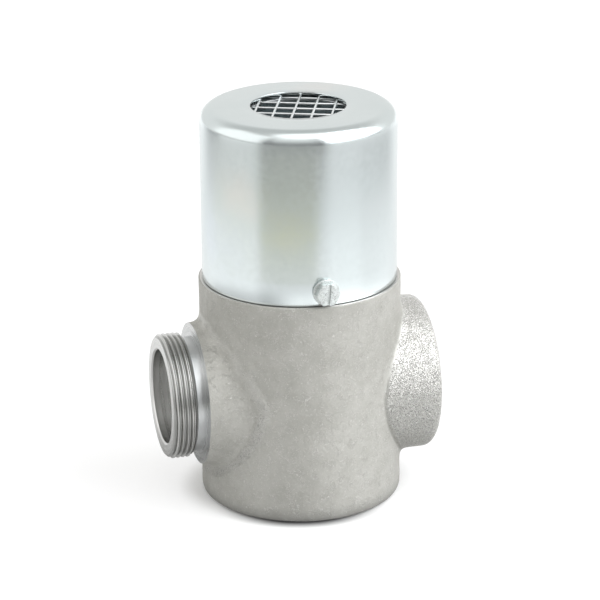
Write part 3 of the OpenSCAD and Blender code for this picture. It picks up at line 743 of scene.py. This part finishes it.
def inlet_pipe():
    """The turned inlet: undercut, then a blank with a chamfer at each end and a helical groove cut into it."""
    pipe = loose_piece("pipe", turned([
        (0, -44), (UNDERCUT_R, -44), (UNDERCUT_R, UNDERCUT_END + 0.3), (UNDERCUT_R + 0.9, UNDERCUT_END - 0.25),
        (THREAD_R, UNDERCUT_END - 1.3), (THREAD_R, INLET_END + 1.5), (ROOT_R - 0.1, INLET_END), (0, INLET_END)],
        steps=192, port=True))
    groove = port_groove([(ROOT_R, -0.22), (ROOT_R, 0.22), (THREAD_R + 0.07, 1.03), (THREAD_R + 0.07, -1.03)],
                         UNDERCUT_END - 0.4 - 6.2 * PITCH, 6.6)
    shaped(pipe, "DIFFERENCE", loose_piece("groove", groove))
    return loosened(pipe)


def inlet_bore():
    """The bored mouth of the inlet, with a broken edge, and the tool's runout where the cast bore begins."""
    return turned([(0, -72), (BORE_R + 4.2, -72), (BORE_R + 0.7, INLET_END), (BORE_R, INLET_END + 0.7),
                   (BORE_R, -47), (BORE_R - 1.2, -44.5), (0, -44.5)], steps=160, port=True)


def outlet_bore():
    """The tapping bore of the outlet hub, countersunk at its mouth."""
    return turned([(0, 44.4), (ROOT_R - 1.5, 44.4), (ROOT_R, 45.2), (ROOT_R, HUB_FACE - 2), (ROOT_R + 2, HUB_FACE),
                   (ROOT_R + 4, HUB_FACE + 2), (0, HUB_FACE + 2)], steps=160, port=True)


def inside_of_bowl():
    """What is hollow in the bowl: all of it but the weir and the roof of the outlet passage."""
    bowl = turned([(0, FLOOR_T), (BOWL_R, FLOOR_T), (BOWL_R, NECK_Z - 8), (NECK_R, NECK_Z), (NECK_R, PAST_TOP),
                   (0, PAST_TOP)])
    round_edges(bowl, 6, 6, lambda p: p.z < FLOOR_T + 1)
    hollow = loose_piece("hollow", bowl)
    for low, high in (((WEIR_X, -50, 0), (WEIR_BACK, 50, ROOF_TOP)), ((WEIR_X, -50, ROOF_LOW), (50, 50, ROOF_TOP))):
        wall = block(low, high)
        round_edges(wall, 0.8, 3, lambda p: p.z > ROOF_TOP - 1 or 25 < p.x < 49)
        shaped(hollow, "DIFFERENCE", loose_piece("wall", wall))
    return loosened(hollow)


trap_casting = casting()


# ---------------------------------------- hood and its mesh

HOOD_R, HOOD_LOW, HOOD_TOP, SHEET_T = 46.25, 108.72, 191.5, 1.5
VENT_R, CORNER_R = 22.4, 7.0
BOLT_Z, BOLT_R = 115.4, 3.0
SLOT_R = BOLT_R + 0.3   # half the width of the hood's slot for the bolt


def hood():
    """A deep-drawn cup, its corner rolled, its edges broken, and an open slot for the bolt."""
    skin = turned([(HOOD_R, z) for z in (HOOD_LOW, 120, 135, 150, 165, 180, HOOD_TOP)]
                  + [(r, HOOD_TOP) for r in (34, 28, VENT_R)], steps=240)
    round_edges(skin, CORNER_R, 14, lambda p: p.z > HOOD_TOP - 1)
    bmesh.ops.recalc_face_normals(skin, faces=skin.faces)
    outwards = sum(f.normal.dot(Vector((*f.calc_center_median().xy, 0))) for f in skin.faces)
    if outwards < 0:
        bmesh.ops.reverse_faces(skin, faces=skin.faces)
    bmesh.ops.solidify(skin, geom=skin.faces, thickness=SHEET_T * MM)
    round_edges(skin, 0.12, 2, lambda p: p.z < HOOD_LOW + 1, angle=60)
    round_edges(skin, 0.16, 2, lambda p: p.z > HOOD_LOW + 1, angle=60)
    made = loose_piece("drawn_hood", skin)
    slot = moved(swung(rod(SLOT_R, -50, -40, steps=48), -90, "X"), z=BOLT_Z)
    shaped(made, "DIFFERENCE", loose_piece("slot", slot))
    shaped(made, "DIFFERENCE", loose_piece("mouth", block((-SLOT_R, -50, 100), (SLOT_R, -40, BOLT_Z))))
    return made


drawn_hood = hood()
BLOOMS = {name: (place_on(drawn_hood, POINTS[name]), size, amount, tint) for name, size, amount, tint in (
    ("yellow_bloom", 15.0, 0.34, (0.78, 0.79, 0.62)),
    ("blue_bloom", 24.0, 0.45, (0.74, 0.79, 0.86)),
    ("rose_bloom", 18.0, 0.40, (0.86, 0.81, 0.76)),
    ("top_bloom", 20.0, 0.35, (0.86, 0.80, 0.77)),
)}
drawn_hood.data.materials.clear()
drawn_hood.data.materials.append(hood_finish(BLOOMS.values()))
finished(drawn_hood, "hood", "zinc_plated_sheet", "hood_shell", sharp=45)


# ---------------------------------------- hood bolt and washer

WASHER_Y, HEAD_Y, HEAD_H, FLATS = -46.3, -47.9, 4.0, 10
WASHER_R = 6.2
SLOT_W, SLOT_DEPTH, SLOT_TURN = 1.8, 0.8, -5    # the driver's slot, turned a little, in degrees


def hexagon(low, high):
    """The bolt's hexagon head, its outer corners turned off."""
    bm = bmesh.new()
    corner_r, place = FLATS / math.sqrt(3) * MM, Matrix.Translation((0, 0, (low + high) / 2 * MM))
    bmesh.ops.create_cone(bm, cap_ends=True, segments=6, radius1=corner_r, radius2=corner_r,
                          depth=(high - low) * MM, matrix=place @ Matrix.Rotation(math.pi / 2, 4, "Z"))
    head = loose_piece("head", bm)
    rim, reach = FLATS / 2 + 0.125, FLATS * 0.8
    top = turned([(0, low - 1), (reach, low - 1), (reach, high - (reach - rim) * 0.5), (rim, high), (0, high)],
                 steps=96)
    shaped(head, "INTERSECT", loose_piece("turned", top))
    return loosened(head)


def hood_bolt():
    seat = -HEAD_Y
    top = seat + HEAD_H
    bolt = loose_piece("slotted_bolt", hexagon(seat, top))
    shank = turned([(0, 40), (BOLT_R - 0.5, 40), (BOLT_R, 40.6), (BOLT_R, seat + 0.5), (0, seat + 0.5)], steps=48)
    shaped(bolt, "UNION", loose_piece("shank", shank))
    slot = swung(block((-SLOT_W / 2, -8, top - SLOT_DEPTH), (SLOT_W / 2, 8, top + 2)), SLOT_TURN, "Z")
    shaped(bolt, "DIFFERENCE", loose_piece("slot", slot))
    bm = loosened(bolt)
    bmesh.ops.remove_doubles(bm, verts=bm.verts, dist=5e-6)
    round_edges(bm, 0.12, 2, angle=22)
    finished(loose_piece("slotted_bolt", onto_front(bm), BOLT), "trap_body", "plated_fasteners", "hood_bolt", sharp=50)


def hood_washer():
    ring = turned([(BOLT_R, -WASHER_Y), (WASHER_R, -WASHER_Y), (WASHER_R, -HEAD_Y), (BOLT_R, -HEAD_Y)],
                  steps=96, ring=True)
    round_edges(ring, 0.22, 3)
    finished(loose_piece("plain_washer", onto_front(ring), BOLT), "trap_body", "plated_fasteners", "hood_bolt_washer")


hood_bolt()
hood_washer()


# ---------------------------------------- air vent under the hood, and the valve inside

ON_HOOD = "hood", "plated_wire", WIRE
FASTENER = "trap_body", "plated_fasteners", PLATED
SEAL = "trap_body", "gasket", GASKET
UPRIGHT_STEEL = "trap_body", "stainless", STEEL
STEEL_ON_PORT = "trap_body", "stainless", STEEL_ACROSS
ON_LEVER = "float_lever", "stainless", STEEL_ACROSS
CLIP = "trap_body", "spring_steel", SPRING

# each node with its body, slot and finish, then the width of its broken edges
for node, *kind in (
        ("mesh_long_wires", *ON_HOOD, 0.1, 2, 60),
        ("mesh_cross_wires", *ON_HOOD, 0.1, 2, 60),
        ("mesh_ring", *ON_HOOD, 0.2),
        ("bonnet_gasket", *SEAL, 0.15),
        ("vent_bonnet", "trap_body", "bonnet_casting", PHOSPHATED, 0.4, 3, 30),
        ("bonnet_screws", *FASTENER, 0.25),
        ("bonnet_screw_washers", *FASTENER, 0.15),
        ("vent_nozzle", *UPRIGHT_STEEL, 0.3),
        ("bellows_carrier", *UPRIGHT_STEEL, 0.2),
        ("carrier_circlip", *CLIP, 0.1),
        ("bellows_base", "trap_body", "bronze", BRONZE, 0.2),
        ("bellows_nut", *UPRIGHT_STEEL, 0.2),
        ("vent_valve", "vent_valve", "stainless", STEEL, 0.2),
        ("outlet_seat", *STEEL_ON_PORT, 0.2),
        ("outlet_seat_gasket", *SEAL, 0.1),
        ("float_bracket", "trap_body", "stainless", SHEET, 0.2),
        ("bracket_screws", *STEEL_ON_PORT, 0.15),
        ("pivot_pin", *UPRIGHT_STEEL, 0.12),
        ("pivot_pin_clip", *CLIP, 0.08),
        ("lever", "float_lever", "stainless", SHEET, 0.2),
        ("valve_head", *ON_LEVER, 0.1),
        ("valve_head_nut", *ON_LEVER, 0.15),
        ("float_screw", *ON_LEVER, 0.15),
        ("float_boss", *ON_LEVER, 0.15)):
    softened(node, *kind)

FLOAT_X, FLOAT_R, FLOAT_Z, FLOAT_WALL = -15.975, 22.0, 34.0, 0.8


def float_shells():
    """Two drawn half balls, welded round the middle with a seam that stands a little proud."""
    for name, side in (("float_front", 1), ("float_back", -1)):
        bm = bmesh.new()
        bmesh.ops.create_uvsphere(bm, u_segments=96, v_segments=64, radius=FLOAT_R * MM)
        swung(bm, 90, "Y")
        bmesh.ops.bisect_plane(bm, geom=bm.verts[:] + bm.edges[:] + bm.faces[:], plane_co=(0, 0, 0),
                               plane_no=(side, 0, 0), clear_inner=True)
        bmesh.ops.solidify(bm, geom=bm.faces, thickness=FLOAT_WALL * MM)
        moved(bm, x=FLOAT_X, z=FLOAT_Z)
        finished(loose_piece(name, bm, FLOAT), "float_lever", "float_steel", name + "_shell")
    bead = (0.02, -1.2), (0.32, -0.8), (0.4, 0), (0.32, 0.8), (0.02, 1.2)
    seam = turned([(FLOAT_R + stand, x) for stand, x in bead], ring=True, port=True)
    moved(seam, x=FLOAT_X, z=FLOAT_Z - PORT_Z)
    ripple(seam)
    finished(loose_piece("float_weld", seam, STEEL_ACROSS), "float_lever", "float_steel", "float_weld_band", sharp=60)


def ripple(seam):
    """The small ripples of a weld bead, set inwards."""
    for vert in seam.verts:
        off = Vector((0, vert.co.y, vert.co.z - FLOAT_Z * MM))
        if off.length / MM > FLOAT_R + 0.25:
            turn = math.atan2(off.z, off.y)
            vert.co -= off.normalized() * (0.5 + 0.5 * math.sin(turn * 40)) * 0.08 * MM


def folded_bellows(folds=6, depth=4, lip=0.6, wall_t=0.3):
    """Rounded folds between the base and the valve's cap."""
    low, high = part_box("bellows")
    outer, inner = high.x / MM, high.x / MM - depth
    z, fold = low.z / MM, (high.z - low.z) / MM / folds
    one_fold = ((inner + lip, 0.12), (outer - lip, 0.38), (outer, 0.5),
                (outer - lip, 0.62), (inner + lip, 0.88), (inner, 1))
    outline = [(inner, z)] + [(r, z + (k + share) * fold) for k in range(folds) for r, share in one_fold]
    wall = turned(outline, steps=96)
    bmesh.ops.solidify(wall, geom=wall.faces, thickness=wall_t * MM)
    bmesh.ops.recalc_face_normals(wall, faces=wall.faces)
    made = loose_piece("folded_bellows", wall, FOLDED)
    made.data.shade_smooth()
    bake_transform(made)
    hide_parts("bellows")


MESH_R, MESH_TURN, WIRE_PITCH = 29.0, -21.5, 9
LONG_OFFSET, CROSS_OFFSET = -1.5, 3.7   # where one wire of each layer lies from the hood's axis


def wire_welds():
    """The small weld at each crossing of the mesh's two layers of wire."""
    height = (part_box("mesh_long_wires")[0].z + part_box("mesh_cross_wires")[1].z) / 2
    turn = Matrix.Rotation(math.radians(MESH_TURN), 3, "Z")
    bm = bmesh.new()
    for i in range(-3, 4):
        for j in range(-3, 4):
            spot = turn @ Vector((LONG_OFFSET + i * WIRE_PITCH, CROSS_OFFSET + j * WIRE_PITCH, 0))
            if spot.length > MESH_R - 2:
                continue
            at = Matrix.Translation((spot.x * MM, spot.y * MM, height)) @ Matrix.Diagonal((1, 1, 0.8, 1))
            bmesh.ops.create_icosphere(bm, subdivisions=2, radius=0.55 * MM, matrix=at)
    finished(loose_piece("wire_welds", bm, WIRE), "hood", "plated_wire")


float_shells()
folded_bellows()
wire_welds()


# ---------------------------------------- floor and light
# Directions are compass angles in degrees: 0 towards the camera, more to the right. Distances are in metres.

FLOOR_WHITE = 0.90      # the paper's own colour
FLOOR_LIFT = 0.55       # how much of the shadow is lifted away from the foot
FLOOR_GLOW = 0.10       # how far the paper is lifted to white, as the camera sees it
SIDE_PAPER, FRONT_PAPER = (0.93, 0.70), (0.74, 0.44)    # near and far levels of the paper, as metal shows it
# the paper behind, as metal shows it, and the level of the painted shade on the paper close to the trap's front left
BACK_PAPER, PAINTED_SHADE_NEAR_LEFT = 0.84, 0.72
PAPER_FADES = 0.34, 0.60    # where the near level turns into the far one
BACK_LIGHT, BACK_GAP, LEFT_LIGHT, RIGHT_LIGHT, TOP_LIGHT = 0.90, 0.64, 1.32, 3.7, 1.60
FRONT_DARK, FRONT_BRIGHT = 0.34, 1.40   # the room in front, low and high
LEFT_BOX, RIGHT_BOX, FRONT_ROOM = (-112, -44), (32, 108), (-43, 34)
LEFT_GAP, RIGHT_GAP = (-39, -31), (18, 28)  # darker gaps between the room and the boxes
WHITE, CREAM = (1, 1, 1), (1.0, 1.0, 0.80)


def turned_from_front(way):
    """The compass angle of a direction or place, and how far it lies to the front."""
    front = vector_maths("DOT_PRODUCT", way, tuple(-AWAY))
    return maths("DEGREES", maths("ARCTAN2", vector_maths("DOT_PRODUCT", way, tuple(RIGHT)), front)), front


def paper_in_metal(turn, front, far):
    """The paper's level as metal shows it, and the share of the strip in front, where it runs out grey."""
    behind = spread(maths("DIVIDE", front, far), -0.45, -0.85)
    end = spread(far, 0.58, 0.85)
    strip = times(spread(turn, -52, -38), spread(minus(turn, spread(far, 0.42, 0.72, 0, 14)), 12, 26, 1, 0))
    dimmed = spread(far, 0.49, 0.58, 1.0, 0.78)
    sides = times(spread(far, *PAPER_FADES, *SIDE_PAPER), spread(between(turn, 32, 72, 10), 0, 1, 1, 1.10), dimmed)
    beyond = shared(between(turn, -142, -100, 8), 0.72, 0.42)
    shown = shared(end, shared(behind, sides, BACK_PAPER), shared(behind, beyond, 1.0))
    run_out = shared(end, times(spread(far, *PAPER_FADES, *FRONT_PAPER), dimmed), FRONT_DARK)
    # painted shade and light on the paper close beside the trap, as metal shows it: darker to the left, lighter to the
    # right
    painted_shade_and_light_beside = times(spread(far, 0.18, 0.28, 1, 0), spread(turn, -130, -110))
    # and a painted shadow on the paper round the trap's foot, as metal shows it
    shown = times(shared(strip, shown, run_out), shared(painted_shade_and_light_beside, 1.0, spread(turn, -38, 0, 0.64, 1.34)),
                  spread(far, 0.05, 0.125, 0.56, 1.0))
    # painted shade on the paper close to the trap's front left, as metal shows it
    painted_shade_near_left = times(spread(far, 0.12, 0.16, 1, 0), between(turn, -100, -22, 10))
    return shared(painted_shade_near_left, shown, PAINTED_SHADE_NEAR_LEFT), strip


def floor():
    """White paper. Metal also shows its grey front end, where the paper runs out towards the camera."""
    bm = bmesh.new()
    bmesh.ops.create_grid(bm, x_segments=1, y_segments=1, size=4)
    made = loose_piece("floor", moved(bm, z=-0.05))
    paper = bpy.data.materials.new("white_paper")
    paper.use_nodes = True
    tree = paper.node_tree
    shader = tree.nodes["Principled BSDF"]
    ray = node_in(tree, "ShaderNodeLightPath").outputs
    place = node_in(tree, "ShaderNodeTexCoord").outputs["Object"]
    turn, front = turned_from_front(place)
    far = vector_maths("LENGTH", place)
    in_metal, strip = paper_in_metal(turn, front, far)

    direct = maths("MAXIMUM", ray["Is Camera Ray"], ray["Is Transmission Ray"])
    lift = times(direct, spread(far, 0.050, 0.062))
    # painted contact shadow: the paper darkened for the camera in a thin ring at the foot, strongest in front
    painted_contact_shadow = minus(1.0, times(spread(far, 0.046, 0.0555, 0.85, 0.0), between(turn, -38, 38, 30)))
    plain = times(spread(lift, 0, 1, 1.0, 1 - FLOOR_LIFT, False), shared(direct, 1.0, painted_contact_shadow))
    level = shared(ray["Is Glossy Ray"], plain, in_metal)
    olive = times(spread(far, 0.408, 0.428), spread(far, 0.50, 0.56, 1.0, 0.15))
    cream = maths("MAXIMUM", strip, times(between(turn, -112, -45, 8), 0.36))
    colour = blended(times(cream, olive, ray["Is Glossy Ray"]), WHITE, CREAM)
    glow = plus(times(direct, painted_contact_shadow, FLOOR_GLOW), times(lift, FLOOR_LIFT * FLOOR_WHITE + 0.02))
    colour = vector_maths("SCALE", colour, scale=times(level, FLOOR_WHITE))
    fill(shader, Base_Color=colour, Roughness=0.9, Specular_IOR_Level=0.0, Emission_Color=(*WHITE, 1),
         Emission_Strength=glow)
    made.data.materials.append(paper)
    made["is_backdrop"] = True


def studio():
    """A soft box on each side, the right one stronger, one overhead, a white wall behind,
    and a darker room in front between the two side boxes."""
    world = bpy.data.worlds.new("studio")
    scene.world = world
    world.use_nodes = True
    tree = world.node_tree
    way = node_in(tree, "ShaderNodeTexCoord").outputs["Generated"]
    turn, _ = turned_from_front(way)
    rise = maths("DEGREES", maths("ARCSINE", vector_maths("DOT_PRODUCT", way, (0, 0, 1))))
    left = times(between(turn, *LEFT_BOX, 6), spread(rise, 50, 64, 1, 0))
    right = times(between(turn, *RIGHT_BOX, 6), spread(rise, 66, 80, 1, 0))
    right_light = shared(spread(rise, 0, 18), spread(turn, 80, 96, 1.0, 0.66), RIGHT_LIGHT)
    gaps = times(maths("MAXIMUM", between(turn, *LEFT_GAP, 3), between(turn, *RIGHT_GAP, 3)),
                 spread(rise, 60, 75, 1, 0))
    front = times(spread(rise, 10, 62, FRONT_DARK, FRONT_BRIGHT, smooth=False), spread(gaps, 0, 1, 1, 0.60))
    overhead = (RIGHT * 0.08 - AWAY * 0.30 + UP * 0.95).normalized()
    above = spread(vector_maths("DOT_PRODUCT", way, tuple(overhead)), 0.88, 0.97)

    level = spread(rise, 28, 52, BACK_LIGHT, BACK_GAP)
    for share, light in ((left, spread(rise, -1, 9, 0.60, LEFT_LIGHT)), (right, right_light),
                         (between(turn, *FRONT_ROOM, 5), front), (above, TOP_LIGHT)):
        level = shared(share, level, light)
    seen = node_in(tree, "ShaderNodeLightPath").outputs["Is Camera Ray"]
    fill(tree.nodes["Background"], Strength=shared(seen, level, 1.0),
         Color=blended(right, (1.0, 0.998, 0.985), (0.985, 0.995, 1.015)))


floor()
studio()
scene.view_settings.view_transform = "Standard"


# ---------------------------------------- where things show

def shown_corners(piece, test=None):
    """Image points of a finished piece's corners that nothing hides."""
    start = camera.matrix_world.translation
    found = []
    for corner in piece.data.vertices:
        place = piece.matrix_world @ corner.co
        if test is not None and not test(place / MM):
            continue
        way = place - start
        hit = everything.ray_cast(start, way.normalized(), way.length - 0.0006)
        if hit[0] is None:
            found.append(image_point(place))
    return found


def all_surfaces():
    """One search tree of every shown piece."""
    whole = bmesh.new()
    graph = bpy.context.evaluated_depsgraph_get()
    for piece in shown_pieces():
        mesh = piece.evaluated_get(graph).to_mesh()
        mesh.transform(piece.matrix_world)
        whole.from_mesh(mesh)
        piece.evaluated_get(graph).to_mesh_clear()
    tree = BVHTree.FromBMesh(whole)
    whole.free()
    return tree


def middle(points):
    xs, ys = [p[0] for p in points], [p[1] for p in points]
    return (min(xs) + max(xs)) / 2, (min(ys) + max(ys)) / 2


def measure():
    """How far each thing shows from its image point."""
    def port_r(p):
        return math.hypot(p.y, p.z - PORT_Z)

    whole = shown_corners(trap_casting) + shown_corners(drawn_hood)
    face = shown_corners(trap_casting, lambda p: abs(p.x - BOSS_FACE) < 0.1 and port_r(p) > 30)
    mouth = shown_corners(trap_casting, lambda p: abs(p.x - INLET_END) < 0.05 and port_r(p) < BORE_R + 1)
    vent = shown_corners(drawn_hood, lambda p: p.z > HOOD_TOP - 0.05 and math.hypot(p.x, p.y) < VENT_R + 0.5)
    edge = shown_corners(drawn_hood, lambda p: p.z < HOOD_LOW + 0.4 and math.hypot(p.x, p.y) > HOOD_R - 0.2)
    seen = {
        "object_left": (min(p[0] for p in whole), None),
        "object_right": (max(p[0] for p in whole), None),
        "object_top": (None, min(p[1] for p in whole)),
        "object_bottom": (None, max(p[1] for p in whole)),
        "vent_hole": middle(vent),
        "inlet_bore": middle(mouth),
        "boss_face_top": min(face, key=lambda p: p[1]),
        "boss_face_bottom": max(face, key=lambda p: p[1]),
        "hood_bolt_head": middle(shown_corners(bpy.data.objects["slotted_bolt"], lambda p: p.y < HEAD_Y)),
    }
    for name in ("hood_edge_left", "hood_edge_front", "hood_edge_right"):
        seen[name] = min(edge, key=lambda p: abs(p[0] - POINTS[name][0]))
    for name, bloom in BLOOMS.items():
        seen[name] = image_point(bloom[0])
    return {name: {axis: None if want is None else round(got - want, 2)
                   for axis, got, want in zip("xy", seen[name], POINTS[name])} for name in POINTS}


everything = all_surfaces()
measure()
